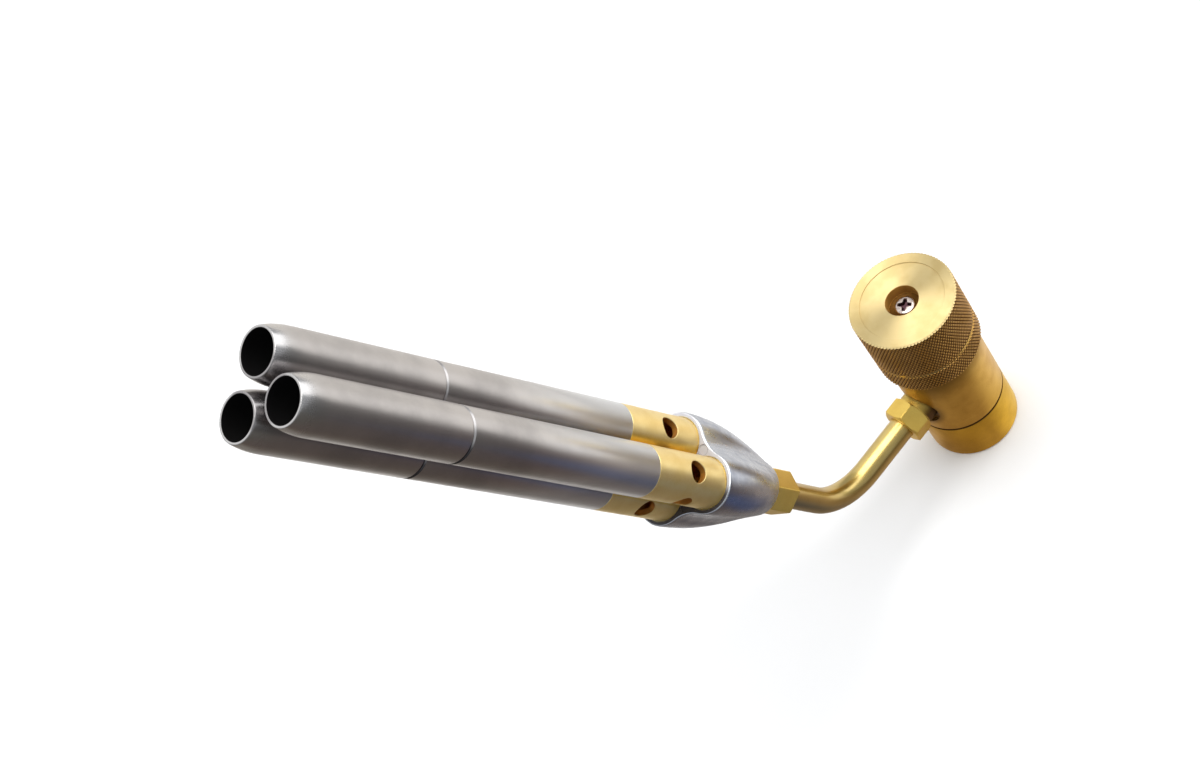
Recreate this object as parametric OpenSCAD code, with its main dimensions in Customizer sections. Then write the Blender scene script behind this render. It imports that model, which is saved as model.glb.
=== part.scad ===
// Hand torch with three burner tubes, for soldering and lampwork.
// A needle valve with a knurled knob screws onto an upright gas bottle.
// A bent tube carries the gas to a cast manifold, which feeds three burners.
// Frame: +Z up along the valve, +X the way the gas leaves it, origin at the
// centre of the inlet socket's mouth. All sizes are in millimetres.

/* [Inlet socket] */
// Bore of the bottle thread, at the crests of the thread
thread_bore_d = 24.2; // [23:0.1:25]
// Wall of the socket outside the thread's crests; the valve body has the same outside
socket_wall = 2.15; // [1.8:0.05:3.5]
// Height of the socket, from its mouth to the groove under the valve body
socket_h = 16.5; // [16:0.1:20]
// Length of the threaded wall
thread_len = 9; // [7:0.1:9.5]
// Thickness of the sealing washer in the socket
gasket_h = 1.6; // [1:0.1:2]
// Diameter of the pin that opens the bottle's valve
pin_d = 4.8; // [4:0.1:5.6]

/* [Valve body] */
// Height of the valve body above the socket
body_h = 28.1; // [26:0.1:32]
// Height of the outlet's axis above the groove
outlet_up = 11; // [10:0.1:12]
// Depth and half width of the V groove round the valve
groove_v = 0.45; // [0.2:0.05:0.7]
// Diameter of the flat that the outlet fitting seats on
spot_d = 14; // [13.9:0.1:15]
// Diameter of the valve seat's hole
seat_d = 2.4; // [1.6:0.1:2.8]
// Diameter of the bonnet's threaded shank
bonnet_d = 14; // [12:0.1:15]
// Width across the flats of the bonnet's hexagon
bonnet_af = 17; // [15:0.1:18]
// Height of the bonnet's hexagon
bonnet_hex_h = 4; // [3:0.1:5]

/* [Knob] */
// Outside diameter of the knurl
knob_d = 32.2; // [30:0.1:36]
// Height of the knob
knob_h = 24.5; // [23:0.1:30]
// Gap between the closed knob and the valve body
knob_gap = 0.4; // [0.3:0.1:1]
// Height of the turned line above the knob's lower edge
line_up = 7.6; // [6:0.1:9]
// Number of knurl teeth round the knob
knurl_teeth = 60; // [40:1:64]
// Depth of the knurl
knurl_depth = 0.35; // [0.2:0.05:0.6]
// Helix angle of the knurl
knurl_angle = 30; // [25:1:40]
// Diameter of the sunk face on top
face_d = 25.4; // [20:0.1:27]
// Depth of the sunk face
face_sink = 0.3; // [0.2:0.05:0.6]
// Diameter of the hole over the screw
screw_hole_d = 10; // [7.5:0.1:12]
// Depth of the hole over the screw, from the sunk face
screw_hole_h = 3.7; // [3:0.1:4.5]
// Diameter of the screw's head
screw_head_d = 6.2; // [5.5:0.1:7]

/* [Gas tube] */
// Outside diameter of the gas tube
tube_d = 7.8; // [7:0.1:8.6]
// Wall of the gas tube
tube_wall = 1.2; // [0.8:0.1:1.5]
// Reach from the valve's axis to the corner of the bend
bend_reach = 52; // [46:0.5:70]
// Angle between the outlet and the burners
bend_angle = 68; // [30:1:80]
// Radius of the bend, at the tube's centre
bend_r = 20; // [16:0.5:22]
// Width across the flats of both hexagons
hex_af = 12; // [11.5:0.1:13.8]
// Length of the outlet fitting's round neck
neck_len = 3.5; // [2:0.1:5]
// Length of the outlet fitting's hexagon
outlet_hex_len = 6.2; // [6:0.1:9]
// Clearance between a pipe or spigot and its socket, on the radius
fit = 0.05; // [0.02:0.01:0.1]

/* [Manifold] */
// Distance from the corner of the bend to the manifold's fitting
fitting_at = 31.5; // [28:0.5:40]
// Length of the manifold fitting's hexagon
fitting_hex_len = 11.5; // [8:0.1:14]
// Length of the casting
casting_len = 35; // [30:0.5:45]
// Diameter of the casting's neck
casting_neck_d = 15.6; // [15:0.1:18]
// Distance of each burner from the middle of the cluster
cluster_r = 8.55; // [8.3:0.05:11]
// Wall of the casting round each collar
lobe_wall = 1.5; // [1:0.1:3]
// Distance from the middle to the waist between two lobes
waist_r = 11.35; // [10.5:0.05:12]
// Turn of the cluster about the gas tube
cluster_turn = 100; // [0:1:360]
// How soon the casting swells out of its neck
swell = 2.1; // [1.5:0.1:3]
// Depth of the collars in the casting
collar_in = 8; // [5:0.1:10]

/* [Burners] */
// Outside diameter of the burner tubes and collars
burner_d = 14; // [12:0.1:14.2]
// Wall of the burner tubes
burner_wall = 0.6; // [0.4:0.1:1]
// Length of the burner tubes
burner_len = 118.6; // [90:0.1:160]
// Length of each collar in view
collar_len = 27.7; // [24:0.1:40]
// Wall of the collars at the air holes
collar_wall = 1.8; // [1.4:0.1:2.2]
// Diameter of the air holes
air_hole_d = 6; // [4:0.1:6.4]
// Distance of the air holes from the casting
air_hole_at = 11.7; // [9:0.1:13]
// Number of air holes in a collar
air_holes = 4; // [2:1:5]
// Turn of the air holes in each collar
air_turn = [41, 49, 66];
// Inside diameter of the burners' drawn-in lips
lip_d = 10.6; // [8:0.1:11]
// Length of the drawn-in end
lip_len = 8; // [5:0.1:12]
// Distance of the rolled bead from the tip
bead_from_tip = 50.7; // [30:0.1:70]
// Depth of the rolled bead
bead_depth = 0.35; // [0.2:0.05:0.5]
// Number of blades in a swirler
blades = 6; // [4:1:8]

/* [Spindle] */
// Diameter of the spindle's thread
spindle_d = 6; // [5:0.1:7]
// Side of the square that drives the knob
square_s = 4; // [3.4:0.1:4.4]
// Running clearance round the spindle, on the radius
run = 0.1; // [0.05:0.01:0.1]
// Section of the spindle's seal ring
seal_d = 1.5; // [1.2:0.1:1.8]

/* [Hidden] */
$fn = 64;
BRASS = "#c8a045";
STEEL = "#8f8d8b";
CAST = "#8b8f96";
RUBBER = "#242424";

// Valve heights
body_r = thread_bore_d / 2 + socket_wall;
z_groove = socket_h;
z_body = socket_h + body_h;
z_knob = z_body + knob_gap;
z_top = z_knob + knob_h;
z_outlet = socket_h + outlet_up;
edge = 0.6;

// Inlet socket
thread_r = thread_bore_d / 2;
thread_relief = 0.6;
relief_r = thread_r + thread_relief;
floor_h = 2;
z_floor = z_groove - floor_h;
spigot_in = 4.75;
spigot_r = body_r - spigot_in;
pin_hole_r = pin_d / 2 + 0.6;
socket_bore_r = pin_d / 2;
filter_r = spigot_r - 4;
filter_h = 1.5;
pin_shank_h = 5;
pin_tip_gap = 0.2;
gas_r = 1.5;

// Valve chamber, seat and bonnet
chamber_r = 3.6;
z_seat = z_outlet - 2.5;
z_chamber = z_outlet + 5.5;
seat_r = seat_d / 2;
needle_slope = 0.5;
needle_tip_r = 0.3;
needle_r = 1.9;
seat_contact_r = seat_r - fit;
z_needle_tip = z_seat - (seat_contact_r - needle_tip_r) / needle_slope;
z_filter = z_needle_tip - 0.4;
z_spigot = z_filter - filter_h - 2 * fit;
bonnet_r = bonnet_d / 2;
bonnet_neck_r = 6;
bonnet_neck_h = 4.4;
z_bonnet = z_body + bonnet_hex_h + bonnet_neck_h;
washer_h = 1;
seal_cord_d = 1.8;
z_cord = z_groove + 1.4;

// Spindle
spindle_r = spindle_d / 2;
land_r = spindle_r + 0.6;
seal_bore_r = land_r + 0.4;
seal_ring_r = seal_bore_r - fit - seal_d / 2;
seal_groove_r = seal_ring_r - seal_d / 2 - fit;
land_h = 1.5;
seal_groove_h = seal_d + 0.5;
stem_r = spindle_r - 0.5;
z_thread_end = z_chamber + 8;
z_seal = z_thread_end + land_h + seal_groove_h / 2;

// Knob
knob_r = knob_d / 2;
root_r = knob_r - knurl_depth;
face_r = face_d / 2;
web_h = 8.2;
z_face = z_top - face_sink;
z_screw_seat = z_face - screw_hole_h;
z_web = z_screw_seat - web_h;
cavity_r = bonnet_af / 2 / cos(30) + 1.7;
square_gap = 0.3;
z_square = z_screw_seat - square_gap;
screw_r = 1.45;
screw_len = 8;
screw_head_h = 1.7;

// Gas tube and its fittings
tube_r = tube_d / 2;
tube_bore_r = tube_r - tube_wall;
port_r = 4.5;
port_len = 4.9;
x_spot = sqrt(pow(body_r, 2) - pow(spot_d / 2, 2)) - 0.2;
x_port = x_spot - port_len;
x_hex = x_spot + neck_len;
x_hex_end = x_hex + outlet_hex_len;
tube_in = 5;
seat_gap = 0.2;
neck_r = hex_af / 2 - 0.4;
outlet_hex_turn = 15;
manifold_hex_turn = 2;
bend_run = bend_r * tan(bend_angle / 2);
bend_thin = 0.02;

// Burner axis: distances along it from the corner of the bend
fitting_spigot = 7;
plenum_at = 12.5;
s_hex = fitting_at;
s_neck = s_hex + fitting_hex_len;
s_face = s_neck + casting_len;
s_collar = s_face - collar_in;
s_tube = s_face + collar_len;
s_tip = s_tube + burner_len;
s_air = s_face + air_hole_at;
s_bead = s_tip - bead_from_tip;
s_plenum = s_neck + plenum_at;
BURNERS = [0, 1, 2];

// Casting
burner_r = burner_d / 2;
lobe_r = burner_r + lobe_wall;
casting_neck_r = casting_neck_d / 2;
fillet_r = (pow(lobe_r, 2) - pow(cluster_r, 2) - pow(waist_r, 2) + cluster_r * waist_r)
    / (2 * waist_r - cluster_r - 2 * lobe_r);
casting_columns = 72;
casting_rows = 11;
casting_edge = 0.5;
feed_r = 1.6;
plenum_r = 4.2;
mark_r = 1.5;
mark_depth = 0.2;
mark_at = waist_r - casting_edge - mark_r - 0.1;

// Collars and jets
chamber_bore_r = burner_r - collar_wall;
collar_back = 7;
spigot_len = 7.5;
tube_spigot_r = burner_r - burner_wall - fit;
throat_step = 0.7;
throat_r = chamber_bore_r - throat_step;
throat_gap = 3.5;
throat_taper = 4;
throat_len = 5;
mouth_wall = 0.6;
jet_r = 2.4;
jet_len = 5.5;
jet_nose_len = 4;
jet_nose_r = 1.2;
orifice_r = 0.3;

// Swirlers
bore_r = burner_r - burner_wall;
swirl_len = 6;
swirl_twist = 40;
hub_r = 1.8;
blade_w = 0.8;

// Places children on the burner axis, with their +Z along it
module on_burner_axis() {
    translate([bend_reach, 0, z_outlet]) rotate([0, 90 - bend_angle, 0]) children();
}

// Places children on the axis of burner k, with their +Z along it
module on_burner(k) {
    on_burner_axis() rotate([0, 0, cluster_turn + 120 * k]) translate([cluster_r, 0, 0]) children();
}

// Places children on the outlet's axis, with their +Z along +X
module on_outlet_axis() {
    translate([0, 0, z_outlet]) rotate([0, 90, 0]) children();
}

// Hexagon bar. An end with a chamfer is turned to a 30 degree cone.
module hex_bar(af, length, chamfer_back, chamfer_front, turn) {
    r = af / 2 / cos(30);
    wide = r + 1;
    slope = tan(30);
    back = chamfer_back > 0
        ? [[r - chamfer_back, 0], [wide, (chamfer_back + 1) * slope]]
        : [[wide, 0]];
    front = chamfer_front > 0
        ? [[wide, length - (chamfer_front + 1) * slope], [r - chamfer_front, length]]
        : [[wide, length]];
    intersection() {
        rotate([0, 0, turn]) cylinder(r = r, h = length, $fn = 6);
        rotate_extrude() polygon(concat([[0, 0]], back, front, [[0, length]]));
    }
}

// Ring of round section about Z
module ring(centre_r, section_r) {
    rotate_extrude() translate([centre_r, 0]) circle(r = section_r, $fn = 32);
}

// Socket that the gas bottle screws into, with a spigot into the valve body
module inlet_socket() {
    color(BRASS) difference() {
        rotate_extrude() polygon([
            [socket_bore_r, z_floor], [relief_r, z_floor], [relief_r, thread_len + thread_relief],
            [thread_r, thread_len], [thread_r, 0], [body_r - edge, 0], [body_r, edge],
            [body_r, z_groove - groove_v], [body_r - groove_v, z_groove],
            [spigot_r, z_groove], [spigot_r, z_spigot], [socket_bore_r, z_spigot]
        ]);
        translate([0, 0, z_floor - 1]) cylinder(r = pin_hole_r, h = pin_shank_h + 1);
        translate([0, 0, z_cord]) ring(spigot_r, seal_cord_d / 2);
    }
}

// Rubber washer that seals on the bottle's neck
module inlet_gasket() {
    color(RUBBER) translate([0, 0, z_floor - gasket_h]) difference() {
        cylinder(r = thread_r - 3.6, h = gasket_h);
        translate([0, 0, -1]) cylinder(r = pin_d / 2 + fit, h = gasket_h + 2);
    }
}

// Hollow pin that pushes the bottle's valve open
module depressor_pin() {
    nose_h = z_floor - thread_len - pin_tip_gap;
    bore_r = pin_d / 4;
    color(BRASS) difference() {
        union() {
            translate([0, 0, z_floor]) cylinder(r = pin_hole_r - fit, h = pin_shank_h - seat_gap);
            translate([0, 0, z_floor - nose_h]) cylinder(r1 = pin_d / 2 - 0.5, r2 = pin_d / 2, h = 0.8);
            translate([0, 0, z_floor - nose_h + 0.8]) cylinder(r = pin_d / 2, h = nose_h - 0.8);
        }
        translate([0, 0, z_floor - nose_h - 1]) cylinder(r = bore_r, h = nose_h + pin_shank_h + 2);
        translate([-pin_d, -0.4, z_floor - nose_h - 1]) cube([2 * pin_d, 0.8, 2]);
    }
}

// Sintered plug that keeps grit out of the valve seat
module inlet_filter() {
    color("#a07a3c") translate([0, 0, z_spigot]) cylinder(r = filter_r, h = filter_h);
}

// Seal ring between the socket's spigot and the valve body
module socket_seal() {
    color(RUBBER) translate([0, 0, z_cord]) difference() {
        ring(spigot_r, seal_cord_d / 2 - fit);
        translate([0, 0, -seal_cord_d]) difference() {
            cylinder(r = spigot_r + 2 * seal_cord_d, h = 2 * seal_cord_d);
            translate([0, 0, -seal_cord_d]) cylinder(r = spigot_r + fit, h = 4 * seal_cord_d);
        }
    }
}

// Valve body: seat, gas chamber, outlet port and the thread for the bonnet
module valve_body() {
    color(BRASS) difference() {
        rotate_extrude() polygon([
            [spigot_r + fit, z_groove], [body_r - groove_v, z_groove], [body_r, z_groove + groove_v],
            [body_r, z_body - edge], [body_r - edge, z_body], [bonnet_r + fit, z_body],
            [bonnet_r + fit, z_chamber], [chamber_r, z_chamber], [chamber_r, z_seat],
            [seat_r, z_seat], [seat_r, z_filter], [filter_r + fit, z_filter],
            [filter_r + fit, z_spigot + fit], [spigot_r + fit, z_spigot + fit]
        ]);
        on_outlet_axis() translate([0, 0, chamber_r / 2]) cylinder(r = gas_r, h = body_r);
        on_outlet_axis() translate([0, 0, x_port]) cylinder(r = port_r, h = body_r);
        on_outlet_axis() translate([0, 0, x_spot]) cylinder(r = spot_d / 2, h = body_r);
    }
}

// Soft washer under the bonnet
module bonnet_washer() {
    color("#b5764a") translate([0, 0, z_chamber]) difference() {
        cylinder(r = bonnet_r - 0.3, h = washer_h);
        translate([0, 0, -1]) cylinder(r = land_r + 0.2, h = washer_h + 2);
    }
}

// Bonnet that screws into the body and guides the spindle
module bonnet() {
    shank_h = z_body - z_chamber - washer_h;
    z_seal_bore = z_thread_end - 0.6;
    color(BRASS) difference() {
        union() {
            translate([0, 0, z_chamber + washer_h]) cylinder(r = bonnet_r, h = shank_h);
            translate([0, 0, z_body]) hex_bar(bonnet_af, bonnet_hex_h, 0, 0.8, 0);
            translate([0, 0, z_body + bonnet_hex_h]) cylinder(r = bonnet_neck_r, h = bonnet_neck_h);
        }
        translate([0, 0, z_chamber]) cylinder(r = spindle_r + run, h = z_bonnet);
        translate([0, 0, z_seal_bore]) cylinder(r = seal_bore_r, h = z_bonnet);
    }
}

// Seal ring that rises with the spindle
module spindle_seal() {
    color(RUBBER) translate([0, 0, z_seal]) ring(seal_ring_r, seal_d / 2);
}

// Spindle: needle, thread, seal groove, stem and the knob's square
module spindle() {
    z_needle = z_seat + (needle_r - seat_contact_r) / needle_slope;
    z_land = z_thread_end + land_h;
    z_land_2 = z_land + seal_groove_h;
    color(STEEL) difference() {
        union() {
            rotate_extrude() polygon([
                [0, z_needle_tip], [needle_tip_r, z_needle_tip], [needle_r, z_needle],
                [needle_r, z_chamber + 2], [spindle_r, z_chamber + 2.6],
                [spindle_r, z_thread_end], [land_r, z_thread_end], [land_r, z_land],
                [seal_groove_r, z_land], [seal_groove_r, z_land_2], [land_r, z_land_2],
                [land_r, z_land_2 + land_h], [stem_r, z_land_2 + land_h + 0.5],
                [stem_r, z_web], [0, z_web]
            ]);
            translate([-square_s / 2, -square_s / 2, z_web - 1])
                cube([square_s, square_s, z_square - z_web + 1]);
        }
        translate([0, 0, z_square - screw_len]) cylinder(r = screw_r + fit, h = screw_len + 1);
    }
}

// Points of one level of the knob: z, radius, and how far the knurl's peaks stand out of it
function knurl_band(z0, z1) =
    let (
        half_pitch = 180 * knob_r / knurl_teeth * PI / 180,
        rows = max(2, round((z1 - z0) / (half_pitch / tan(knurl_angle)))),
        step = (z1 - z0) / rows
    )
    [for (i = [0 : rows]) [z0 + i * step, root_r, i == 0 || i == rows ? 0 : knurl_depth]];

// Solid of revolution with a diamond knurl: at each level every second column stands out
module knurled_solid(levels) {
    columns = 2 * knurl_teeth;
    count = len(levels);
    function ring_start(j) = j * columns;
    function raised(i, j) = (i + j) % 2 == 1;
    points = concat(
        [for (j = [0 : count - 1]) for (i = [0 : columns - 1])
            let (a = 360 * i / columns, r = levels[j][1] + (raised(i, j) ? levels[j][2] : 0))
            [r * cos(a), r * sin(a), levels[j][0]]],
        [[0, 0, levels[0][0]], [0, 0, levels[count - 1][0]]]
    );
    side = [for (j = [0 : count - 2]) for (i = [0 : columns - 1])
        let (
            n = (i + 1) % columns,
            a = ring_start(j) + i, b = ring_start(j) + n,
            c = ring_start(j + 1) + n, d = ring_start(j + 1) + i
        )
        each raised(i, j) ? [[a, d, b], [b, d, c]] : [[a, c, b], [a, d, c]]];
    ends = [for (i = [0 : columns - 1])
        let (n = (i + 1) % columns, last = ring_start(count - 1))
        each [[count * columns, i, n], [count * columns + 1, last + n, last + i]]];
    polyhedron(points = points, faces = concat(side, ends), convexity = 4);
}

// Knurled knob, bored for the bonnet below and the screw above
module knob() {
    line_w = 0.35;
    bevel = 0.3;
    z_line = z_knob + line_up;
    past = 1;
    levels = concat(
        [[z_knob - past, root_r - bevel - past, 0]],
        knurl_band(z_knob + bevel, z_line - line_w),
        [[z_line, root_r - line_w, 0]],
        knurl_band(z_line + line_w, z_top - bevel),
        [[z_top + past, root_r - bevel - past, 0]]
    );
    color(BRASS) difference() {
        intersection() {
            knurled_solid(levels);
            translate([0, 0, z_knob]) cylinder(r = knob_r + 1, h = knob_h);
        }
        translate([0, 0, z_knob - 1]) cylinder(r = cavity_r, h = z_web - z_knob + 1);
        translate([0, 0, z_face]) cylinder(r = face_r, h = face_sink + 1);
        translate([0, 0, z_screw_seat]) cylinder(r = screw_hole_d / 2, h = screw_hole_h + 1);
        translate([-square_s / 2 - fit, -square_s / 2 - fit, z_web - 1])
            cube([square_s + 2 * fit, square_s + 2 * fit, web_h + 2]);
    }
}

// Cross-head screw that holds the knob on the spindle
module knob_screw() {
    head_r = screw_head_d / 2;
    crown = 0.7;
    slot_w = 0.9;
    color("#d8d4d0") translate([0, 0, z_screw_seat]) difference() {
        union() {
            rotate_extrude() polygon(concat(
                [[0, 0], [head_r, 0]],
                [for (a = [0 : 15 : 90]) [head_r * cos(a * 0.98), screw_head_h - crown + crown * sin(a)]],
                [[0, screw_head_h]]
            ));
            translate([0, 0, 1 - screw_len]) cylinder(r = screw_r, h = screw_len);
        }
        for (a = [30, 120]) rotate([0, 0, a]) translate([-head_r * 0.62, -slot_w / 2, screw_head_h - 1.1])
            cube([head_r * 1.24, slot_w, 2]);
    }
}

// Hexagon fitting between the valve body and the gas tube
module outlet_fitting() {
    color(BRASS) on_outlet_axis() difference() {
        union() {
            translate([0, 0, x_port + seat_gap])
                cylinder(r = port_r - fit, h = x_hex - x_port - seat_gap);
            translate([0, 0, x_spot]) cylinder(r = neck_r, h = neck_len);
            translate([0, 0, x_hex]) hex_bar(hex_af, outlet_hex_len, 1.1, 1.1, outlet_hex_turn - 90);
        }
        translate([0, 0, x_port]) cylinder(r = gas_r, h = x_hex_end);
        translate([0, 0, x_hex_end - tube_in]) cylinder(r = tube_r + fit, h = tube_in + 1);
    }
}

// One solid rod along the gas tube's route, a little thinner in the bend
module tube_route(r, extra) {
    x_start = x_hex_end - tube_in + seat_gap - extra;
    x_bend = bend_reach - bend_run;
    s_end = s_hex + tube_in - seat_gap + extra;
    lap = 0.05;
    on_outlet_axis() translate([0, 0, x_start]) cylinder(r = r, h = x_bend + lap - x_start);
    translate([x_bend, 0, z_outlet + bend_r]) rotate([90, 0, 0]) rotate([0, 0, -90])
        rotate_extrude(angle = bend_angle) translate([bend_r, 0]) circle(r = r - bend_thin);
    on_burner_axis() translate([0, 0, bend_run - lap]) cylinder(r = r, h = s_end - bend_run + lap);
}

// Bent gas tube
module gas_tube() {
    color("#b8963f") difference() {
        tube_route(tube_r, 0);
        tube_route(tube_bore_r, 1);
    }
}

// Hexagon fitting between the gas tube and the casting
module manifold_fitting() {
    color(BRASS) on_burner_axis() difference() {
        union() {
            translate([0, 0, s_hex]) hex_bar(hex_af, fitting_hex_len, 0.3, 0, manifold_hex_turn);
            translate([0, 0, s_neck]) cylinder(r = port_r - fit, h = fitting_spigot);
        }
        translate([0, 0, s_hex]) cylinder(r = gas_r, h = fitting_hex_len + fitting_spigot + 1);
        translate([0, 0, s_hex - 1]) cylinder(r = tube_r + fit, h = tube_in + 1);
    }
}

// Distance from the middle to the three-lobed outline, a degrees from a lobe's centre line
function lobe_outline(a) =
    let (
        q = abs((a + 420) % 120 - 60),
        arc_at = waist_r + fillet_r,
        share = lobe_r / (lobe_r + fillet_r),
        touch_x = cluster_r + (arc_at * cos(60) - cluster_r) * share,
        touch_y = arc_at * sin(60) * share,
        touch = atan2(touch_y, touch_x)
    )
    q < touch
        ? cluster_r * cos(q) + sqrt(pow(lobe_r, 2) - pow(cluster_r * sin(q), 2))
        : arc_at * cos(60 - q) - sqrt(pow(fillet_r, 2) - pow(arc_at * sin(60 - q), 2));

// Levels of the casting: distance along the axis, share of the way from neck to lobes, inset.
// The first and the last lie past its ends, which are cut square.
function casting_levels() =
    let (
        start = s_neck + casting_edge,
        span = casting_len - 2 * casting_edge,
        round_at = function (q) casting_edge * (1 - cos(q)),
        past = 1
    )
    concat(
        [[start - casting_edge - past, 0, casting_edge + past]],
        [for (q = [60, 30]) [start - casting_edge * sin(q), 0, round_at(q)]],
        [for (i = [0 : casting_rows])
            let (u = i / casting_rows)
            [start + span * u, 1 - pow(1 - u, swell), 0]],
        [for (q = [30, 60]) [start + span + casting_edge * sin(q), 1, round_at(q)]],
        [[start + span + casting_edge + past, 1, casting_edge + past]]
    );

// Casting's outside: a round neck that swells into three lobes
module casting_form() {
    levels = casting_levels();
    count = len(levels);
    columns = casting_columns;
    points = concat(
        [for (v = levels) for (i = [0 : columns - 1])
            let (
                a = 360 * i / columns,
                r = casting_neck_r + v[1] * (lobe_outline(a) - casting_neck_r) - v[2]
            )
            [r * cos(a), r * sin(a), v[0]]],
        [[0, 0, levels[0][0]], [0, 0, levels[count - 1][0]]]
    );
    side = [for (j = [0 : count - 2]) for (i = [0 : columns - 1])
        let (
            n = (i + 1) % columns,
            a = j * columns + i, b = j * columns + n,
            c = (j + 1) * columns + n, d = (j + 1) * columns + i
        )
        each [[a, c, b], [a, d, c]]];
    ends = [for (i = [0 : columns - 1])
        let (n = (i + 1) % columns, last = (count - 1) * columns)
        each [[count * columns, i, n], [count * columns + 1, last + n, last + i]]];
    polyhedron(points = points, faces = concat(side, ends), convexity = 4);
}

// Cast manifold: port for the fitting, feed passages, sockets for the collars and ejector marks
module manifold() {
    feed_run = s_collar - s_plenum;
    feed_tilt = atan(cluster_r / feed_run);
    color(CAST) on_burner_axis() rotate([0, 0, cluster_turn]) difference() {
        intersection() {
            casting_form();
            translate([0, 0, s_neck]) cylinder(r = cluster_r + lobe_r + 1, h = casting_len);
        }
        translate([0, 0, s_plenum]) sphere(r = plenum_r);
        translate([0, 0, s_neck - 1]) cylinder(r = port_r, h = fitting_spigot + seat_gap + 1);
        translate([0, 0, s_neck]) cylinder(r = gas_r, h = s_plenum - s_neck);
        for (k = BURNERS) rotate([0, 0, 120 * k]) {
            translate([0, 0, s_plenum]) rotate([0, feed_tilt, 0])
                cylinder(r = feed_r, h = feed_run / cos(feed_tilt) + feed_r);
            translate([cluster_r, 0, s_collar]) cylinder(r = burner_r + fit, h = collar_in + 1);
            rotate([0, 0, 60]) translate([mark_at, 0, s_face - mark_depth])
                cylinder(r = mark_r, h = 1);
        }
    }
}

// Brass collar: jet seat, mixing chamber with air holes, throat and spigot into the burner tube
module air_collar(k) {
    s_chamber = s_collar + collar_back;
    s_taper = s_air + air_hole_d / 2 + throat_gap;
    s_throat = s_taper + throat_taper;
    s_end = s_tube + spigot_len;
    mouth_r = tube_spigot_r - mouth_wall;
    color(BRASS) on_burner(k) difference() {
        rotate_extrude() polygon([
            [jet_r + fit, s_collar], [burner_r, s_collar], [burner_r, s_tube],
            [tube_spigot_r, s_tube], [tube_spigot_r, s_end], [mouth_r, s_end],
            [throat_r, s_throat + throat_len], [throat_r, s_throat], [chamber_bore_r, s_taper],
            [chamber_bore_r, s_chamber], [jet_r + fit, s_chamber]
        ]);
        for (i = [0 : air_holes - 1])
            rotate([0, 0, air_turn[k] - cluster_turn - 120 * k + i * 360 / air_holes])
                translate([0, 0, s_air]) rotate([0, 90, 0]) cylinder(d = air_hole_d, h = burner_r + 1);
    }
}

// Gas jet screwed into the back of a collar
module gas_jet(k) {
    shank = jet_len + 1.5;
    tip = shank + jet_nose_len;
    color("#caa95a") on_burner(k) translate([0, 0, s_collar]) rotate_extrude() polygon([
        [gas_r, 0], [jet_r, 0], [jet_r, shank], [jet_nose_r, tip],
        [orifice_r, tip], [orifice_r, jet_len], [gas_r, jet_len - gas_r]
    ]);
}

// Drawn steel burner tube with a rolled bead and a drawn-in lip
module burner_tube(k) {
    draw = bore_r - lip_d / 2;
    bead_half = 1.1;
    lip_steps = 8;
    lip_power = 2.4;
    function lip_at(i) = s_tip - lip_len + lip_len * i / lip_steps;
    function lip_in(i) = draw * pow(i / lip_steps, lip_power);
    function bead_at(q) = s_bead + bead_half * q / 180;
    function bead_in(q) = bead_depth * (1 + cos(q)) / 2;
    bead = [-180 : 45 : 180];
    lip = [0 : lip_steps];
    color(STEEL) on_burner(k) rotate_extrude() polygon(concat(
        [[bore_r, s_tube], [burner_r, s_tube]],
        [for (q = bead) [burner_r - bead_in(q), bead_at(q)]],
        [for (i = lip) [burner_r - lip_in(i), lip_at(i)]],
        [for (i = lip) [bore_r - lip_in(lip_steps - i), lip_at(lip_steps - i)]],
        [for (q = bead) [bore_r - bead_in(q), bead_at(-q)]]
    ));
}

// Bladed insert that steadies the flame, held behind the rolled bead
module flame_swirler(k) {
    tip_r = bore_r - fit;
    color("#a8823a") on_burner(k) translate([0, 0, s_bead - 1.3 - swirl_len]) intersection() {
        union() {
            cylinder(r = hub_r, h = swirl_len);
            linear_extrude(height = swirl_len, twist = swirl_twist, slices = 5)
                for (i = [0 : blades - 1]) rotate([0, 0, i * 360 / blades])
                    translate([0, -blade_w / 2]) square([tip_r + 1, blade_w]);
        }
        cylinder(r = tip_r, h = swirl_len);
    }
}

inlet_socket();
inlet_gasket();
depressor_pin();
inlet_filter();
socket_seal();
valve_body();
bonnet();
bonnet_washer();
spindle_seal();
spindle();
knob();
knob_screw();
outlet_fitting();
gas_tube();
manifold_fitting();
manifold();
air_collar(0);  // air_collar_1
air_collar(1);  // air_collar_2
air_collar(2);  // air_collar_3
gas_jet(0);  // gas_jet_1
gas_jet(1);  // gas_jet_2
gas_jet(2);  // gas_jet_3
burner_tube(0);  // burner_tube_1
burner_tube(1);  // burner_tube_2
burner_tube(2);  // burner_tube_3
flame_swirler(0);  // flame_swirler_1
flame_swirler(1);  // flame_swirler_2
flame_swirler(2);  // flame_swirler_3
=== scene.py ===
import math

import bmesh
import bpy
from mathutils import Matrix, Vector


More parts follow.
